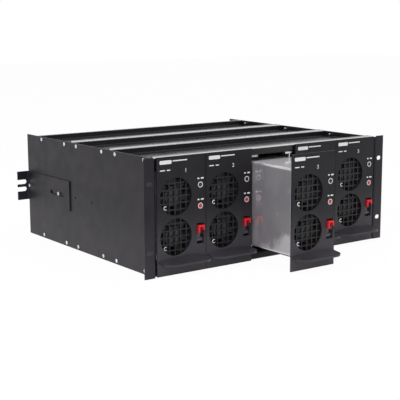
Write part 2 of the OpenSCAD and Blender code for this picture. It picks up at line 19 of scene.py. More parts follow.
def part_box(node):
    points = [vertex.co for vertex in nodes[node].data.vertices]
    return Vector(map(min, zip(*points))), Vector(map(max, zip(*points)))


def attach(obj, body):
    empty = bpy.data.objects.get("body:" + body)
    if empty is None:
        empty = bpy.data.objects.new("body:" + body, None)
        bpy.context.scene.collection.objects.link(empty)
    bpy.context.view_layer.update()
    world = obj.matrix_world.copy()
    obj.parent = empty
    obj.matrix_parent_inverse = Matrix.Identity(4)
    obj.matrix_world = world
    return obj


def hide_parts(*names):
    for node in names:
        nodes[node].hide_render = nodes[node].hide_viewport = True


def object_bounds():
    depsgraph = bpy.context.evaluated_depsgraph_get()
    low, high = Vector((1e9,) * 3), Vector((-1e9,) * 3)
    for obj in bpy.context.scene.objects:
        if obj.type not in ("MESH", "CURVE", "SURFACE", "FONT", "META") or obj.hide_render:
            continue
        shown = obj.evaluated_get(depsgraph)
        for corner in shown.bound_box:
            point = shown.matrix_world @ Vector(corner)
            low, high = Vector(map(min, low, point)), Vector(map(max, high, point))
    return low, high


MM = 0.001
BAYS = (1, 2, 3, 4, 5)

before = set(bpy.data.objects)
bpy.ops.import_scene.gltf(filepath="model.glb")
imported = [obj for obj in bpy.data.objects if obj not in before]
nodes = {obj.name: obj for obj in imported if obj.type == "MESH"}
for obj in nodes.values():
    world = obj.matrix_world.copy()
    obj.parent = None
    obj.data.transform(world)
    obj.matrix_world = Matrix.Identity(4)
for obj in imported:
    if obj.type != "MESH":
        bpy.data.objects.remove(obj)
cad_low, cad_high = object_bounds()
print(len(nodes), "solids, from", tuple(cad_low), "to", tuple(cad_high))

# %% [markdown]
# ## The camera
#
# The shelf is seen from its front left corner, a little from above, with a long lens
# from about one and a half metres. The turn, the tilt and the slight roll are kept
# apart, so that each can be read and changed on its own.

# %% Camera
TURN, TILT, ROLL = math.radians(-36.04), math.radians(90 - 10.22), math.radians(-0.18)
EYE = (-0.998, -1.1771, 0.2808)
LENS_MM, SENSOR_MM, NEAREST = 89.6, 36, 0.05

view_camera = bpy.data.cameras.new("view")
view_camera.lens = LENS_MM
view_camera.sensor_width = SENSOR_MM
view_camera.clip_start = NEAREST
camera = bpy.data.objects.new("view", view_camera)
camera.matrix_world = (Matrix.Translation(EYE) @ Matrix.Rotation(TURN, 4, "Z")
                       @ Matrix.Rotation(TILT, 4, "X") @ Matrix.Rotation(ROLL, 4, "Z"))
bpy.context.scene.collection.objects.link(camera)
bpy.context.scene.camera = camera
bpy.context.scene.view_settings.view_transform = "Standard"
print("camera at", tuple(round(v, 3) for v in camera.location))

# %% [markdown]
# ## Room and lamps
#
# A product shown on white needs soft light from all round, and a white that the camera
# and the bright metal see alike. So the world has two strengths: a grey one that lights
# the shelf, and a white one for what is looked at or mirrored. Two large soft lamps
# give the side and the top their lead over the front.

# %% World
SKY_LIGHT = 0.55

world = bpy.data.worlds.new("studio")
bpy.context.scene.world = world
world.use_nodes = True
sky = world.node_tree
sky_seen = sky.nodes.new("ShaderNodeLightPath")
sky.nodes["Background"].inputs["Color"].default_value = (1, 1, 1, 1)


def either(tree, first, second):
    """The larger of two sockets, which for yes and no means one or the other."""
    larger = tree.nodes.new("ShaderNodeMath")
    larger.operation = "MAXIMUM"
    tree.links.new(first, larger.inputs[0])
    tree.links.new(second, larger.inputs[1])
    return larger.outputs[0]


def looked_at(tree, light_path):
    """One where the camera, a mirror or clear plastic looks, and nought elsewhere."""
    mirrored = either(tree, light_path.outputs["Is Glossy Ray"],
                      light_path.outputs["Is Transmission Ray"])
    return either(tree, light_path.outputs["Is Camera Ray"], mirrored)


sky_strength = sky.nodes.new("ShaderNodeMapRange")
sky_strength.inputs["To Min"].default_value = SKY_LIGHT
sky_strength.inputs["To Max"].default_value = 1.0
sky.links.new(looked_at(sky, sky_seen), sky_strength.inputs["Value"])
sky.links.new(sky_strength.outputs["Result"], sky.nodes["Background"].inputs["Strength"])
print("sky light", SKY_LIGHT)

# %% Lamps


def soft_lamp(name, place, target, width, power):
    """A square lamp at a place, turned towards a target."""
    lamp = bpy.data.lights.new(name, "AREA")
    lamp.size = width
    lamp.energy = power
    lamp_object = bpy.data.objects.new(name, lamp)
    lamp_object.location = place
    aim = Vector(target) - Vector(place)
    lamp_object.rotation_euler = aim.to_track_quat("-Z", "Y").to_euler()
    bpy.context.scene.collection.objects.link(lamp_object)
    lamp_object.visible_camera = False
    lamp_object.visible_glossy = False
    print("lamp", name, power, "W")


LIT_PLACE = (0, 0.1, 0)
soft_lamp("side_light", place=(-2.2, -0.4, 1.1), target=LIT_PLACE, width=1.6, power=14)
soft_lamp("top_light", place=(0.2, -0.5, 2.4), target=LIT_PLACE, width=1.8, power=30)

# %% [markdown]
# ## The floor
#
# The shelf stands on white board, a plane so wide that its edge is out of sight. Where
# it is looked at or mirrored, the board is nearly all the same white as the room, and
# the little paint that is left keeps a faint shadow under the shelf. For all other
# light it is plain white paint, which shines up on the foot of the shelf.

# %% Floor
FLOOR_SIZE, FLOOR_GAP = 14, 0.1 * MM
WHITE_SHARE = 0.97

bpy.ops.object.select_all(action="DESELECT")
bpy.ops.mesh.primitive_plane_add(size=FLOOR_SIZE, location=(0, 0, cad_low.z - FLOOR_GAP))
floor = bpy.context.active_object
floor.name = "floor"

floor_paint = bpy.data.materials.new("white_board")
floor_paint.use_nodes = True
board = floor_paint.node_tree
board_shader = board.nodes["Principled BSDF"]
board_shader.inputs["Base Color"].default_value = (0.9, 0.9, 0.9, 1)
board_shader.inputs["Roughness"].default_value = 0.9
board_shader.inputs["Specular IOR Level"].default_value = 0.0
board_glow = board.nodes.new("ShaderNodeEmission")
board_mix = board.nodes.new("ShaderNodeMixShader")
board_seen = board.nodes.new("ShaderNodeLightPath")
board_share = board.nodes.new("ShaderNodeMath")
board_share.operation = "MULTIPLY"
board_share.inputs[1].default_value = WHITE_SHARE
board.links.new(looked_at(board, board_seen), board_share.inputs[0])
board.links.new(board_share.outputs[0], board_mix.inputs["Fac"])
board.links.new(board_shader.outputs[0], board_mix.inputs[1])
board.links.new(board_glow.outputs[0], board_mix.inputs[2])
board.links.new(board_mix.outputs[0], board.nodes["Material Output"].inputs["Surface"])
floor.data.materials.append(floor_paint)
print("floor at", round(floor.location.z, 5))

# %% [markdown]
# ## How a finish is mixed
#
# Every finish starts from the same shader and differs in what feeds it. The small
# class below keeps one material's node tree and gives short names to the few things
# that a painter needs: specks and clouds, streaks, a soft switch between two values,
# a mix of two colours and a bump. All patterns read the object's own coordinates in
# metres, so a speck of half a millimetre is written as half a millimetre.

# %% Finish
EDGE_ROUND = 0.35 * MM


class Finish:
    """A material, with the nodes that its pattern is mixed from."""

    def __init__(self, name, **plain):
        self.material = bpy.data.materials.new(name)
        self.material.use_nodes = True
        self.tree = self.material.node_tree
        self.shader = self.tree.nodes["Principled BSDF"]
        self.place = self.tree.nodes.new("ShaderNodeTexCoord").outputs["Object"]
        axes = self.tree.nodes.new("ShaderNodeSeparateXYZ")
        self.tree.links.new(self.place, axes.inputs[0])
        self.x, self.y, self.z = axes.outputs
        for socket, value in plain.items():
            self.shader.inputs[socket.replace("_", " ")].default_value = value

    def put(self, value, socket):
        """Sets a socket to a number or a colour, or joins it to another node's output."""
        if isinstance(value, bpy.types.NodeSocket):
            self.tree.links.new(value, socket)
        else:
            socket.default_value = value

    def sum(self, operation, *values):
        """Does one sum with numbers and sockets, such as ADD or MULTIPLY."""
        node = self.tree.nodes.new("ShaderNodeMath")
        node.operation = operation
        for value, socket in zip(values, node.inputs):
            self.put(value, socket)
        return node.outputs[0]

    def cloud(self, size, detail=3.0, stretch=(1, 1, 1), sharp=0.5):
        """Noise whose features are about size metres wide, stretched along the axes."""
        mapping = self.tree.nodes.new("ShaderNodeMapping")
        self.put(self.place, mapping.inputs["Vector"])
        mapping.inputs["Scale"].default_value = [1 / (size * s) for s in stretch]
        noise = self.tree.nodes.new("ShaderNodeTexNoise")
        self.put(mapping.outputs[0], noise.inputs["Vector"])
        noise.inputs["Scale"].default_value = 1.0
        noise.inputs["Detail"].default_value = detail
        noise.inputs["Roughness"].default_value = sharp
        return noise.outputs["Fac"]

    def between(self, value, low, high, at_low=0.0, at_high=1.0):
        """A soft switch from at_low to at_high as value goes from low to high."""
        node = self.tree.nodes.new("ShaderNodeMapRange")
        node.interpolation_type = "SMOOTHSTEP"
        self.put(value, node.inputs["Value"])
        for socket, number in zip(("From Min", "From Max", "To Min", "To Max"),
                                  (low, high, at_low, at_high)):
            node.inputs[socket].default_value = number
        return node.outputs["Result"]

    def mix(self, share, first, second):
        """A colour between first and second."""
        node = self.tree.nodes.new("ShaderNodeMix")
        node.data_type = "RGBA"
        self.put(share, node.inputs["Factor"])
        for value, socket in ((first, node.inputs[6]), (second, node.inputs[7])):
            self.put(value if isinstance(value, bpy.types.NodeSocket) else (*value, 1), socket)
        return node.outputs[2]

    def bump(self, height, depth, strength=1.0):
        """Bumps of depth metres, on edges that catch the light as if slightly rounded."""
        edge = self.tree.nodes.new("ShaderNodeBevel")
        edge.samples = 4
        edge.inputs["Radius"].default_value = EDGE_ROUND
        node = self.tree.nodes.new("ShaderNodeBump")
        node.inputs["Distance"].default_value = depth
        node.inputs["Strength"].default_value = strength
        self.put(height, node.inputs["Height"])
        self.put(edge.outputs[0], node.inputs["Normal"])
        self.put(node.outputs[0], self.shader.inputs["Normal"])

    def colour(self, value):
        """Sets the colour of the finish."""
        self.put(value, self.shader.inputs["Base Color"])

    def rough(self, value):
        """Sets the roughness of the finish."""
        self.put(value, self.shader.inputs["Roughness"])


def linear(red, green, blue):
    """A colour given as on a screen, 0 to 255, turned into the shader's own scale."""
    return tuple(((c / 255 + 0.055) / 1.055) ** 2.4 for c in (red, green, blue))


print("finishes can be mixed")

# %% [markdown]
# ## Paint on the sheet metal
#
# The folded sheets are powder coated in a satin black that a low light turns grey. Up
# close the coat has a fine orange peel, faint clouds from uneven thickness, and thin
# rub marks where modules and tools have passed. There are four coats: the shelf's own,
# a darker and glossier one on the top pans, a duller one on the face plates and a paler
# one on the handles. Three of them change by place, where light or shade falls on them.

# %% Paint


def powder_coat(name, dark, light, roughness, gloss, shade=None):
    """Satin black with orange peel, clouds and a few rub marks.

    shade(coat, tone) may change the tone by place before it is used.
    """
    coat = Finish(name, Specular_IOR_Level=gloss)
    clouds = coat.cloud(60 * MM, 4)
    specks = coat.cloud(0.6 * MM, 2)
    rubs = coat.between(coat.cloud(26 * MM, 5, (1, 1, 0.05), 0.62), 0.69, 0.74)
    tone = coat.mix(coat.between(clouds, 0.35, 0.65), dark, light)
    tone = coat.mix(coat.sum("MULTIPLY", rubs, 0.3), tone, linear(96, 94, 99))
    coat.colour(shade(coat, tone) if shade else tone)
    uneven = coat.between(coat.cloud(25 * MM), 0.3, 0.7, roughness - 0.04, roughness + 0.05)
    coat.rough(coat.sum("SUBTRACT", uneven, coat.sum("MULTIPLY", rubs, 0.1)))
    coat.bump(specks, 0.03 * MM, 0.6)
    return coat


print("powder coat can be mixed")

# %% Light and shade by place
FOOT, HEAD = cad_low.z, cad_high.z
BOARD_SHINE = 110 * MM
PAN_COUNT = 3
PAN_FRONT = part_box("top_pans")[0].y
PAN_PITCH = (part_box("rear_panel")[0].y - PAN_FRONT) / PAN_COUNT
FOLD_LEAD, FOLD_END, FOLD_FADE = 3 * MM, 5 * MM, 1.5 * MM
FOLD_FOOT, FOLD_HEAD = HEAD - 2.2 * MM, HEAD - 1.4 * MM
EAR_BACK, SHADE_FULL, SHADE_END = 0.3 * MM, 4 * MM, 22 * MM


def lit_foot(coat, tone):
    """Lightens a front towards its foot, where the white board shines up on it."""
    low = coat.between(coat.z, FOOT, FOOT + BOARD_SHINE, 0.75, 0.0)
    return coat.mix(low, tone, linear(94, 91, 97))


def bright_lips(coat, tone):
    """Lightens the folds at the front of the pans' lips, which catch the sky."""
    from_front = coat.sum("SUBTRACT", coat.y, PAN_FRONT - PAN_PITCH - FOLD_LEAD)
    along = coat.sum("MODULO", from_front, PAN_PITCH)
    fold = coat.sum("MULTIPLY", coat.between(along, FOLD_END, FOLD_END + FOLD_FADE, 1, 0),
                    coat.between(coat.z, FOLD_FOOT, FOLD_HEAD))
    return coat.mix(fold, tone, linear(206, 202, 206))


def shaded_front(coat, tone):
    """Paints the light of the white board on the side sheets towards their foot, and paints
    shade on them just behind the ears.
    """
    behind = coat.sum("MULTIPLY", coat.between(coat.y, EAR_BACK, 2 * EAR_BACK),
                      coat.between(coat.y, SHADE_FULL, SHADE_END, 0.8, 0))
    low = coat.between(coat.z, FOOT, FOOT + BOARD_SHINE, 0.4, 0.0)
    return coat.mix(behind, coat.mix(low, tone, linear(76, 73, 79)), linear(18, 16, 20))


print("the pans repeat every", round(PAN_PITCH / MM, 1), "mm")

# %% Coats
shelf_paint = powder_coat("shelf_paint", linear(31, 28, 34), linear(38, 34, 41), 0.44, 0.23,
                          shaded_front)
pan_paint = powder_coat("pan_paint", linear(22, 20, 24), linear(27, 25, 29), 0.3, 0.4,
                        bright_lips)
face_paint = powder_coat("face_paint", linear(28, 26, 31), linear(34, 32, 37), 0.5, 0.22,
                         lit_foot)
handle_paint = powder_coat("handle_paint", linear(52, 50, 55), linear(58, 56, 61), 0.36, 0.4)
print("four coats of paint")

# %% Painted pieces


def wear(name, finish):
    """Gives a CAD node one finish."""
    shape = nodes[name].data
    shape.materials.clear()
    shape.materials.append(finish.material)


for name in ("side_left", "side_right", "bottom_pans", "rear_panel", "rear_brackets"):
    wear(name, shelf_paint)
wear("top_pans", pan_paint)
for bay in BAYS:
    wear(f"face_plate_{bay}", face_paint)
print("sheets and plates painted")

# %% [markdown]
# ## Bright metal
#
# The cases are wrapped from semi-bright plate: part mirror, part grey haze, with
# upright streaks that are a little rougher and whose paler colour is painted reflection.
# Painted light makes the colour paler still: a painted highlight on top and along the
# front edge, and painted reflection round the low front corner and in a few blotches.
# The screws and the guide rails are zinc plated, which is brighter and has a fine
# grain, and the bus bars are bare copper that has darkened unevenly.

# %% Case plate
case_plate = Finish("case_plate", Specular_IOR_Level=0.6)
haze = case_plate.between(case_plate.cloud(34 * MM, 3, (1, 1, 1.6), 0.45), 0.42, 0.66)
# Upright streaks: the plate is a little rougher there, and their paler colour is painted
# reflection.
streaks_and_sheen = case_plate.between(case_plate.cloud(9 * MM, 6, (1, 1, 5), 0.65), 0.64, 0.7)
grain = case_plate.cloud(1.2 * MM, 2, (1, 1, 14))
plate_tone = case_plate.mix(haze, linear(188, 183, 191), linear(198, 194, 199))
plate_tone = case_plate.mix(case_plate.sum("MULTIPLY", streaks_and_sheen, 0.55), plate_tone,
                            linear(222, 220, 224))
print("case plate has its tone")

# %% Painted light on the case plate
case_low, case_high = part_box("case_3")
CORNER_HIGH, CORNER_DEEP = 40 * MM, 66 * MM
REFLECTION_START, REFLECTION_FULL, REFLECTION_FADE = -50 * MM, -12 * MM, 8 * MM

# Painted highlight: the top of the plate, where the light from above falls, and its front edge
# are made paler.
lit_top = case_plate.between(case_plate.z, case_high.z - 0.4 * MM, case_high.z - 0.1 * MM)
lit_edge = case_plate.between(case_plate.y, case_low.y + 1.2 * MM, case_low.y + 1.6 * MM, 1, 0)
# Painted reflection: round the low front corner, and in a few blotches on the case in front of
# the bay, the colour is made paler.
up = case_plate.sum("DIVIDE", case_plate.sum("SUBTRACT", case_plate.z, case_low.z),
                    CORNER_HIGH)
back = case_plate.sum("DIVIDE", case_plate.sum("SUBTRACT", case_plate.y, case_low.y),
                      CORNER_DEEP)
waver = case_plate.between(case_plate.cloud(30 * MM, 3), 0.3, 0.7, -0.2, 0.2)
from_corner = case_plate.sum("ADD", case_plate.sum("ADD", up, back), waver)
corner = case_plate.between(from_corner, 0.7, 1.25, 1, 0)
reflection_blots = case_plate.between(case_plate.cloud(22 * MM, 4, (1, 1, 2)), 0.46, 0.6)
blot_reflection = case_plate.sum("MULTIPLY", case_plate.between(case_plate.y, REFLECTION_START, REFLECTION_FULL),
                       reflection_blots)
blot_reflection = case_plate.sum("MULTIPLY", blot_reflection,
                       case_plate.between(case_plate.y, -REFLECTION_FADE, REFLECTION_FADE, 1, 0))
# pale gathers all the painted light and painted reflection above: the colour turns paler there
# and the plate less metallic.
pale = either(case_plate.tree, case_plate.sum("MULTIPLY", corner, 0.75),
              case_plate.sum("MULTIPLY", blot_reflection, 0.3))
pale = either(case_plate.tree, lit_top, either(case_plate.tree, lit_edge, pale))
case_plate.colour(case_plate.mix(pale, plate_tone, linear(214, 210, 213)))
case_plate.put(case_plate.between(pale, 0, 1, 0.55, 0.1), case_plate.shader.inputs["Metallic"])
case_plate.rough(case_plate.sum("ADD", case_plate.between(haze, 0, 1, 0.08, 0.15),
                                case_plate.sum("MULTIPLY", streaks_and_sheen, 0.15)))
case_plate.bump(grain, 0.02 * MM, 0.4)
print("case plate has its pale places")

# %% Zinc and copper


def plated(name, dark, light, roughness, grain_size):
    """Plated or bare metal with grain and uneven tarnish."""
    metal = Finish(name, Metallic=1.0)
    tarnish = metal.between(metal.cloud(18 * MM, 5, (1, 1, 1), 0.6), 0.35, 0.7)
    metal.colour(metal.mix(tarnish, light, dark))
    metal.rough(metal.between(tarnish, 0, 1, roughness, roughness + 0.15))
    metal.bump(metal.cloud(grain_size, 2), 0.02 * MM, 0.5)
    return metal


zinc = plated("zinc_plate", linear(226, 226, 230), linear(252, 252, 252), 0.3, 1.4 * MM)
rail_zinc = plated("rail_zinc", linear(168, 168, 172), linear(214, 214, 218), 0.26, 1.4 * MM)
copper = plated("bare_copper", linear(150, 84, 56), linear(214, 138, 100), 0.28, 1.0 * MM)

for bay in BAYS:
    wear(f"case_{bay}", case_plate)
wear("guide_rails", rail_zinc)
wear("screws", zinc)
wear("bus_bars", copper)
print("metal in place")

# %% [markdown]
# ## Upper guide rails
#
# Over the bays, under the top pans, run six more rails, which hold the modules down: a
# flat foot with a web that ends just above a case. Each is two boxes, joined. The outer
# two are cut off at the side sheets, and the one on the left has no room for a web.
#
# The helpers in the first cell serve all that follows: they make a box, work on a mesh
# in edit mode, close it up and join several meshes into one piece.

# %% Helpers for shapes


def box_between(low, high):
    """A plain box between two corners."""
    bpy.ops.object.select_all(action="DESELECT")
    middle = [(a + b) / 2 for a, b in zip(low, high)]
    bpy.ops.mesh.primitive_cube_add(size=1, location=middle)
    box = bpy.context.active_object
    box.scale = [b - a for a, b in zip(low, high)]
    bpy.ops.object.transform_apply(location=True, rotation=True, scale=True)
    return box


def joined(name, parts, finish):
    """Joins parts into one named piece with one finish."""
    bpy.ops.object.select_all(action="DESELECT")
    for part in parts:
        part.select_set(True)
    bpy.context.view_layer.objects.active = parts[0]
    bpy.ops.object.join()
    piece = bpy.context.active_object
    piece.name = name
    piece.data.name = name
    piece.data.materials.clear()
    piece.data.materials.append(finish.material)
    return piece


def edit(action):
    """Runs one piece of work in edit mode on the active object, with all selected."""
    bpy.ops.object.mode_set(mode="EDIT")
    bpy.ops.mesh.select_all(action="SELECT")
    action()
    bpy.ops.object.mode_set(mode="OBJECT")


def close_up():
    """Merges the points that meet, and turns the faces outwards."""
    bpy.ops.mesh.select_all(action="SELECT")
    bpy.ops.mesh.remove_doubles(threshold=0.01 * MM)
    bpy.ops.mesh.normals_make_consistent(inside=False)


print("helpers ready")

# %% Upper rails
PAN_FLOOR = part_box("top_pans")[0].z
RAIL_FRONT, RAIL_REAR = 4 * MM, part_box("rear_panel")[0].y - MM
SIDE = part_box("top_pans")[1].x
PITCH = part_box("face_plate_2")[0].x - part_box("face_plate_1")[0].x
FOOT_T, HALF_FOOT, WEB_X, WEB_T, RUN_GAP = 3 * MM, 16 * MM, 7.3 * MM, 2 * MM, 0.3 * MM

rail_boxes = []
for place in range(len(BAYS) + 1):
    x = (place - len(BAYS) / 2) * PITCH
    left, right = max(x - HALF_FOOT, -SIDE), min(x + HALF_FOOT, SIDE)
    rail_boxes.append(box_between((left, RAIL_FRONT, PAN_FLOOR - FOOT_T),
                                  (right, RAIL_REAR, PAN_FLOOR)))
    if x - WEB_X > -SIDE:
        rail_boxes.append(box_between(
            (x - WEB_X - WEB_T / 2, RAIL_FRONT, case_high.z + RUN_GAP),
            (x - WEB_X + WEB_T / 2, RAIL_REAR, PAN_FLOOR - FOOT_T)))
upper_rails = joined("upper_rails", rail_boxes, rail_zinc)
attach(upper_rails, "shelf")
print("upper rails of", len(rail_boxes), "boxes")

# %% [markdown]
# ## Handles
#
# A handle is one bent strip. Inside it runs flat under the case, and in front of the
# plate it spreads into a lip that is pressed to a shallow arch: high in the middle
# where it leaves the plate, and sloping down a little to its front edge. The lip is a
# grid of points on that surface, thickened, and the neck and the tail are boxes. It
# stands for the flat handle of the solids.

# %% The lip of a handle
HANDLE_HALF, HANDLE_CORNER, HANDLE_T = 42 * MM, 18 * MM, 3 * MM
ARCH, DROOP = 4 * MM, 1.4 * MM
STEPS_ACROSS, STEPS_OUT = 36, 10


def lip_reach(x, reach):
    """How far the lip stands out at x from its middle, with round front corners."""
    past = abs(x) - (HANDLE_HALF - HANDLE_CORNER)
    if past <= 0:
        return reach
    return reach - HANDLE_CORNER + math.sqrt(max(HANDLE_CORNER ** 2 - past ** 2, 0))


def lip_surface(middle, plate, level, reach):
    """The lip of a handle as a grid of points, without thickness yet."""
    shape = bmesh.new()
    rows = []
    for i in range(STEPS_ACROSS + 1):
        x = HANDLE_HALF * math.sin((i / STEPS_ACROSS - 0.5) * math.pi)
        side = (x / HANDLE_HALF) ** 2
        row = []
        for j in range(STEPS_OUT + 1):
            out = j / STEPS_OUT
            rise = ARCH * (1 - out) ** 2 * (1 - side) - DROOP * out
            row.append(shape.verts.new((middle + x, plate - out * lip_reach(x, reach),
                                        level + rise)))
        rows.append(row)
    for first, second in zip(rows, rows[1:]):
        for j in range(STEPS_OUT):
            shape.faces.new((first[j], second[j], second[j + 1], first[j + 1]))
    bmesh.ops.recalc_face_normals(shape, faces=shape.faces)
    mesh = bpy.data.meshes.new("lip")
    shape.to_mesh(mesh)
    shape.free()
    lip = bpy.data.objects.new("lip", mesh)
    bpy.context.scene.collection.objects.link(lip)
    return lip


def thickened(lip):
    """Gives the lip its thickness and merges what meets at its pointed ends."""
    bpy.ops.object.select_all(action="DESELECT")
    lip.select_set(True)
    bpy.context.view_layer.objects.active = lip
    thick = lip.modifiers.new("thick", "SOLIDIFY")
    thick.thickness, thick.offset = HANDLE_T, 0
    bpy.ops.object.modifier_apply(modifier="thick")
    edit(close_up)
    return lip


print("a lip is a grid of", STEPS_ACROSS, "by", STEPS_OUT)

# %% Handles
NECK_HALF, TAIL_HALF, PLATE_T, LIP_GAP = 39 * MM, 35 * MM, 2 * MM, 0.1 * MM


def handle(bay):
    """The handle of one bay."""
    low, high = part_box(f"handle_{bay}")
    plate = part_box(f"face_plate_{bay}")[0].y
    middle, level, behind = (low.x + high.x) / 2, (low.z + high.z) / 2, plate + PLATE_T
    lip = thickened(lip_surface(middle, plate, level, plate - low.y - LIP_GAP))
    neck = box_between((middle - NECK_HALF, plate - MM, low.z),
                       (middle + NECK_HALF, behind, high.z))
    tail = box_between((middle - TAIL_HALF, behind, low.z),
                       (middle + TAIL_HALF, high.y, high.z))
    return joined(f"handle_strip_{bay}", [lip, neck, tail], handle_paint)


for bay in BAYS:
    strip = handle(bay)
    bpy.ops.object.shade_smooth_by_angle(angle=math.radians(35))
    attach(strip, f"module_{bay}")
    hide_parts(f"handle_{bay}")
print("five handles")

# %% [markdown]
# ## Plastics and lights
#
# The fans, their guards and the sockets are moulded in nylon with a fine texture, the
# fans in a greyer one. The two indicators of a module share one finish that switches
# by height: the upper one is out and the lower one glows red.

# %% Plastic


def moulded(name, dark, light, roughness):
    """Moulded plastic: even colour, faint flow marks and a fine grain."""
    plastic = Finish(name, Specular_IOR_Level=0.4)
    flow = plastic.cloud(12 * MM, 3, (1, 1, 2))
    plastic.colour(plastic.mix(flow, dark, light))
    plastic.rough(plastic.between(flow, 0.3, 0.7, roughness, roughness + 0.08))
    plastic.bump(plastic.cloud(0.4 * MM, 2), 0.02 * MM, 0.6)
    return plastic


fan_plastic = moulded("fan_plastic", linear(62, 60, 65), linear(74, 72, 77), 0.42)
guard_plastic = moulded("guard_plastic", linear(24, 23, 26), linear(31, 30, 33), 0.5)
socket_plastic = moulded("socket_plastic", linear(30, 30, 32), linear(40, 40, 42), 0.5)
wear("sockets", socket_plastic)
for bay in BAYS:
    wear(f"finger_guards_{bay}", guard_plastic)
    wear(f"fan_frames_{bay}", fan_plastic)
    wear(f"upper_rotor_{bay}", fan_plastic)
    wear(f"lower_rotor_{bay}", fan_plastic)
print("fans, guards and sockets in place")

# %% Indicators
lamp_low, lamp_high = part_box("indicators_1")
LAMP_MIDDLE = (lamp_low.z + lamp_high.z) / 2

lamp_plastic = Finish("lamp_plastic", Roughness=0.16, Specular_IOR_Level=0.5)
is_upper = lamp_plastic.between(lamp_plastic.z, LAMP_MIDDLE - MM, LAMP_MIDDLE + MM)
rings = lamp_plastic.cloud(2 * MM, 2)
lit = lamp_plastic.mix(rings, linear(196, 6, 26), linear(220, 12, 34))
lamp_plastic.colour(lamp_plastic.mix(is_upper, lit, linear(44, 24, 28)))
lamp_plastic.put(lamp_plastic.mix(is_upper, linear(220, 4, 14), (0, 0, 0)),
                 lamp_plastic.shader.inputs["Emission Color"])
lamp_plastic.shader.inputs["Emission Strength"].default_value = 0.2
lamp_plastic.bump(rings, 0.01 * MM, 0.4)
for bay in BAYS:
    wear(f"indicators_{bay}", lamp_plastic)
print("indicators in place")

# %% [markdown]
# ## Latch levers
#
# A lever is one moulding: a boss on the pin, a narrow arm, a hook behind and a red grip
# with a finger notch below, whose left leg is the longer one. It is put together from
# boxes with bevelled edges and a cylinder, and stands for the plainer lever of the
# solids, which reaches further out. Only the grip is red: the finish switches to grey
# below its foot.

# %% Latch plastic
LEFT_LEG, RIGHT_LEG = 11.5 * MM, 7.5 * MM
GRIP_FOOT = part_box("latch_1")[1].z - LEFT_LEG - 0.1 * MM

latch_plastic = Finish("latch_plastic", Specular_IOR_Level=0.5)
is_grip = latch_plastic.between(latch_plastic.z, GRIP_FOOT - 0.05 * MM, GRIP_FOOT + 0.05 * MM)
flow = latch_plastic.cloud(6 * MM, 3)
red = latch_plastic.mix(flow, linear(212, 26, 38), linear(236, 40, 50))
latch_plastic.colour(latch_plastic.mix(is_grip, linear(86, 84, 89), red))
latch_plastic.rough(latch_plastic.between(flow, 0.3, 0.7, 0.34, 0.42))
latch_plastic.bump(latch_plastic.cloud(0.5 * MM, 2), 0.02 * MM, 0.5)
print("latch plastic is red above", round(GRIP_FOOT / MM, 1), "mm")

# %% Latch levers
GRIP_REACH, GRIP_WALL = 4 * MM, 3 * MM
PIN_BACK, PIN_DROP, BOSS_RADIUS = 6.5 * MM, 23 * MM, 3.5 * MM
ARM_HALF, ARM_T, HOOK_REACH = 3.8 * MM, 3 * MM, 7 * MM
SOFT, CRISP, LAP = 0.8 * MM, 0.4 * MM, 0.5 * MM


def rounded(box, radius):
    """Bevels all edges of a box."""
    edit(lambda: bpy.ops.mesh.bevel(offset=radius, segments=3, affect="EDGES"))
    return box


def lever(bay):
    """The latch lever of one bay, at rest, upright on its pin."""
    low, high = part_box(f"latch_{bay}")
    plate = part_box(f"face_plate_{bay}")[0].y
    left, middle, right, top = low.x, (low.x + high.x) / 2, high.x, high.z
    pin_y, pin_z = plate + PIN_BACK, top - PIN_DROP
    front, arm_front, arm_back = plate - GRIP_REACH, pin_y - ARM_T / 2, pin_y + ARM_T / 2
    slabs = {
        "roof": ((left, front, top - GRIP_WALL), (right, arm_back, top), SOFT),
        "left leg": ((left, front, top - LEFT_LEG),
                     (left + GRIP_WALL, arm_front, top - MM), SOFT),
        "right leg": ((right - GRIP_WALL, front, top - RIGHT_LEG),
                      (right, arm_front, top - MM), SOFT),
        "back": ((left, arm_front - LAP, top - LEFT_LEG), (right, arm_back, top - MM), CRISP),
        "arm": ((middle - ARM_HALF, arm_front, pin_z),
                (middle + ARM_HALF, arm_back, top - LEFT_LEG + LAP), CRISP),
        "hook": ((left, pin_y, pin_z - BOSS_RADIUS),
                 (right, pin_y + HOOK_REACH, pin_z - LAP), CRISP),
    }
    parts = [rounded(box_between(foot, head), radius) for foot, head, radius in slabs.values()]
    bpy.ops.object.select_all(action="DESELECT")
    bpy.ops.mesh.primitive_cylinder_add(vertices=32, radius=BOSS_RADIUS, depth=right - left,
                                        location=(middle, pin_y, pin_z),
                                        rotation=(0, math.pi / 2, 0))
    parts.append(bpy.context.active_object)
    bpy.ops.object.transform_apply(location=True, rotation=True, scale=True)
    return joined(f"lever_{bay}", parts, latch_plastic)


for bay in BAYS:
    moulding = lever(bay)
    bpy.ops.object.shade_smooth_by_angle(angle=math.radians(35))
    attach(moulding, f"latch_lever_{bay}")
    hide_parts(f"latch_{bay}")
print("five latch levers")

# %% [markdown]
# ## Inside a module
#
# The electronics are sealed in, and only show when a case is opened in a later scene.
# One finish covers the whole deck and switches by height: green board below, and
# above it aluminium on the left and dark wound parts on the right.

# %% Power deck
BOARD_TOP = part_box("power_deck_1")[0].z + 5.7 * MM
SINK_END = 32 * MM

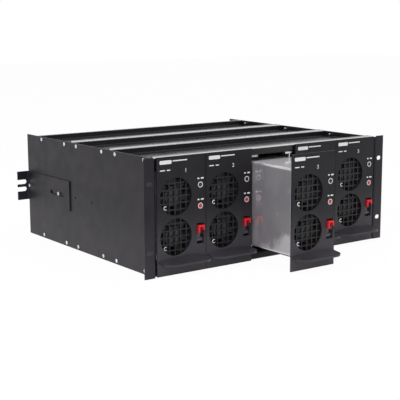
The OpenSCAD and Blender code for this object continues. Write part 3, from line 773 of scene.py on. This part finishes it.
deck_finish = Finish("power_deck_parts", Roughness=0.5)
solder = deck_finish.between(deck_finish.cloud(3 * MM, 4), 0.56, 0.6)
green = deck_finish.mix(solder, linear(24, 84, 50), linear(38, 112, 66))
from_left = deck_finish.sum("ADD", deck_finish.x, len(BAYS) / 2 * PITCH)
in_bay = deck_finish.sum("MODULO", from_left, PITCH)
is_right = deck_finish.between(in_bay, SINK_END, SINK_END + MM)
wound = deck_finish.mix(deck_finish.cloud(5 * MM, 4), linear(34, 34, 38), linear(66, 58, 46))
sink = deck_finish.mix(deck_finish.cloud(2 * MM, 3, (1, 12, 1)), linear(150, 150, 154),
                       linear(190, 190, 194))
above = deck_finish.mix(is_right, sink, wound)
is_above = deck_finish.between(deck_finish.z, BOARD_TOP, BOARD_TOP + 0.1 * MM)
deck_finish.colour(deck_finish.mix(is_above, green, above))
deck_finish.bump(solder, 0.05 * MM, 0.5)
for bay in BAYS:
    wear(f"power_deck_{bay}", deck_finish)
print("power decks in place")

# %% [markdown]
# ## Printed marks
#
# Each face plate carries a little white print: a bar across the top with a thin line
# beside it, two short lines below, the number of the bay, and a ring with two dashes at
# each indicator. The print is modelled as thin raised ink, a tenth of a millimetre
# high. Bars start as a plane with its corners bevelled round, rings as a circle whose
# rim is extruded and scaled, and the number as text turned into a mesh. All get their
# height from an extrude. The bars hold no words.

# %% Ink helpers
INK = 0.1 * MM
FIGURE_SHARE, STROKE_MORE = 0.7, 0.15 * MM


def raise_ink():
    """Gives flat ink its height, away from the plate, and turns its faces outwards."""
    bpy.ops.mesh.extrude_region_move(TRANSFORM_OT_translate={"value": (0, -INK, 0)})
    bpy.ops.mesh.select_all(action="SELECT")
    bpy.ops.mesh.normals_make_consistent(inside=False)


def settle(name):
    """Names the active object and puts its place into its mesh."""
    thing = bpy.context.active_object
    thing.name = name
    bpy.ops.object.transform_apply(location=True, rotation=True, scale=True)
    return thing


def ink_bar(x, y, z, width, height, corner):
    """A bar of ink centred at x and z, its back at y."""
    bpy.ops.object.select_all(action="DESELECT")
    bpy.ops.mesh.primitive_plane_add(size=1, location=(x, y, z),
                                     rotation=(math.pi / 2, 0, 0))
    bpy.context.active_object.scale = (width, height, 1)
    bar = settle("bar")

    def shape():
        bpy.ops.mesh.bevel(offset=corner, segments=4, affect="VERTICES")
        raise_ink()

    edit(shape)
    return bar


def ink_ring(x, y, z, outside, inside):
    """A ring of ink round x and z, its back at y."""
    bpy.ops.object.select_all(action="DESELECT")
    bpy.ops.mesh.primitive_circle_add(vertices=40, radius=inside, location=(x, y, z),
                                      rotation=(math.pi / 2, 0, 0))
    ring = settle("ring")
    share = outside / inside

    def shape():
        bpy.ops.mesh.extrude_edges_move()
        bpy.ops.transform.resize(value=(share, share, share), center_override=(x, y, z))
        bpy.ops.mesh.select_all(action="SELECT")
        raise_ink()

    edit(shape)
    return ring


def ink_number(x, y, z, number, height):
    """A plain number of ink centred at x and z."""
    bpy.ops.object.select_all(action="DESELECT")
    bpy.ops.object.text_add(location=(x, y, z), rotation=(math.pi / 2, 0, 0))
    figure = bpy.context.active_object
    figure.data.body = str(number)
    figure.data.size = height / FIGURE_SHARE
    figure.data.align_x = "CENTER"
    figure.data.align_y = "CENTER"
    figure.data.offset = STROKE_MORE
    figure.data.resolution_u = 4
    bpy.ops.object.convert(target="MESH")
    settle("figure")
    edit(raise_ink)
    return figure


print("ink is", INK, "m high")

# %% White ink
white_ink = Finish("white_ink", Specular_IOR_Level=0.3)
worn = white_ink.cloud(1.5 * MM, 3)
white_ink.colour(white_ink.mix(worn, linear(226, 226, 228), linear(250, 250, 250)))
white_ink.rough(white_ink.between(worn, 0.3, 0.7, 0.5, 0.62))
white_ink.bump(worn, 0.01 * MM, 0.4)
print("white ink, a little worn")

# %% Print on the five face plates
INDICATOR_X = (lamp_low.x + lamp_high.x) / 2 - sum(c.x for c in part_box("face_plate_1")) / 2
LAMP_RADIUS = 3.5 * MM
UPPER_LAMP, LOWER_LAMP = lamp_high.z - LAMP_RADIUS, lamp_low.z + LAMP_RADIUS
NUMBER_X, NUMBER_Z, NUMBER_TALL = 7.5 * MM, 65.6 * MM, 5.6 * MM
RING_OUTSIDE, RING_INSIDE = 4.4 * MM, 3.2 * MM
DASH_RISE, DASH_TALL, DASH_CORNER = 9.6 * MM, 2.2 * MM, 0.7 * MM

# The block, the line beside it and the two short lines below, in millimetres: the place
# across from the plate's middle, the height, the width, how tall it is and its corners.
BARS = (
    (-28, 80.2, 21, 5.6, 1.6),
    (-2.9, 81.4, 26, 1.7, 0.7),
    (-33.5, 68.4, 9, 1.6, 0.6),
    (-23, 68.4, 6, 1.6, 0.6),
)
# The two dashes over each ring: the place across from its middle, and the width.
DASHES = ((-3.6, 3.4), (3.4, 5.4))

for bay in BAYS:
    low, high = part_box(f"face_plate_{bay}")
    x, y = (low.x + high.x) / 2, low.y
    marks = [ink_bar(x + across * MM, y, height * MM, width * MM, tall * MM, corner * MM)
             for across, height, width, tall, corner in BARS]
    marks.append(ink_number(x + NUMBER_X, y, NUMBER_Z, bay, NUMBER_TALL))
    for lamp in (UPPER_LAMP, LOWER_LAMP):
        marks.append(ink_ring(x + INDICATOR_X, y, lamp, RING_OUTSIDE, RING_INSIDE))
        marks += [ink_bar(x + INDICATOR_X + across * MM, y, lamp + DASH_RISE,
                          width * MM, DASH_TALL, DASH_CORNER) for across, width in DASHES]
    print_on_plate = joined(f"print_{bay}", marks, white_ink)
    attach(print_on_plate, f"module_{bay}")
    print(print_on_plate.name, len(print_on_plate.data.polygons), "faces")

# %% [markdown]
# ## Clips on the finger guards
#
# Low on the left of each guard a small bright hook grips the grid. It is a piece of
# round wire bent to a good two thirds of a turn, open to the right. A disc is spun
# about the hook's middle, which leaves a disc at either end, so the wire is closed.

# %% Guard clips
WIRE, BEND = 0.8 * MM, 2.5 * MM
BEND_START, BEND_SPAN = math.radians(-55), math.radians(250)
CLIP_LEFT, CLIP_DROP, CLIP_OUT = 18.2 * MM, 15.6 * MM, 0.2 * MM


def wire_clip(x, y, z):
    """A wire hook in the plane of the plate, open to the right."""
    bpy.ops.object.select_all(action="DESELECT")
    bpy.ops.mesh.primitive_circle_add(vertices=10, radius=WIRE, fill_type="NGON",
                                      location=(x + BEND * math.cos(BEND_START), y,
                                                z - BEND * math.sin(BEND_START)),
                                      rotation=(0, BEND_START, 0))
    clip = settle("clip")

    def shape():
        bpy.ops.mesh.spin(steps=18, angle=BEND_SPAN, center=(x, y, z), axis=(0, 1, 0))
        close_up()

    edit(shape)
    return clip


bright_wire = plated("bright_wire", linear(226, 226, 230), linear(250, 250, 252), 0.3, 1 * MM)
for bay in BAYS:
    clips = []
    for rotor in ("upper", "lower"):
        low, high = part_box(f"{rotor}_rotor_{bay}")
        middle = (low + high) / 2
        guard_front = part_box(f"finger_guards_{bay}")[0].y
        clips.append(wire_clip(middle.x - CLIP_LEFT, guard_front - CLIP_OUT,
                               middle.z - CLIP_DROP))
    pair = joined(f"guard_clips_{bay}", clips, bright_wire)
    bpy.ops.object.shade_smooth_by_angle(angle=math.radians(40))
    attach(pair, f"module_{bay}")
print("guard clips in place")
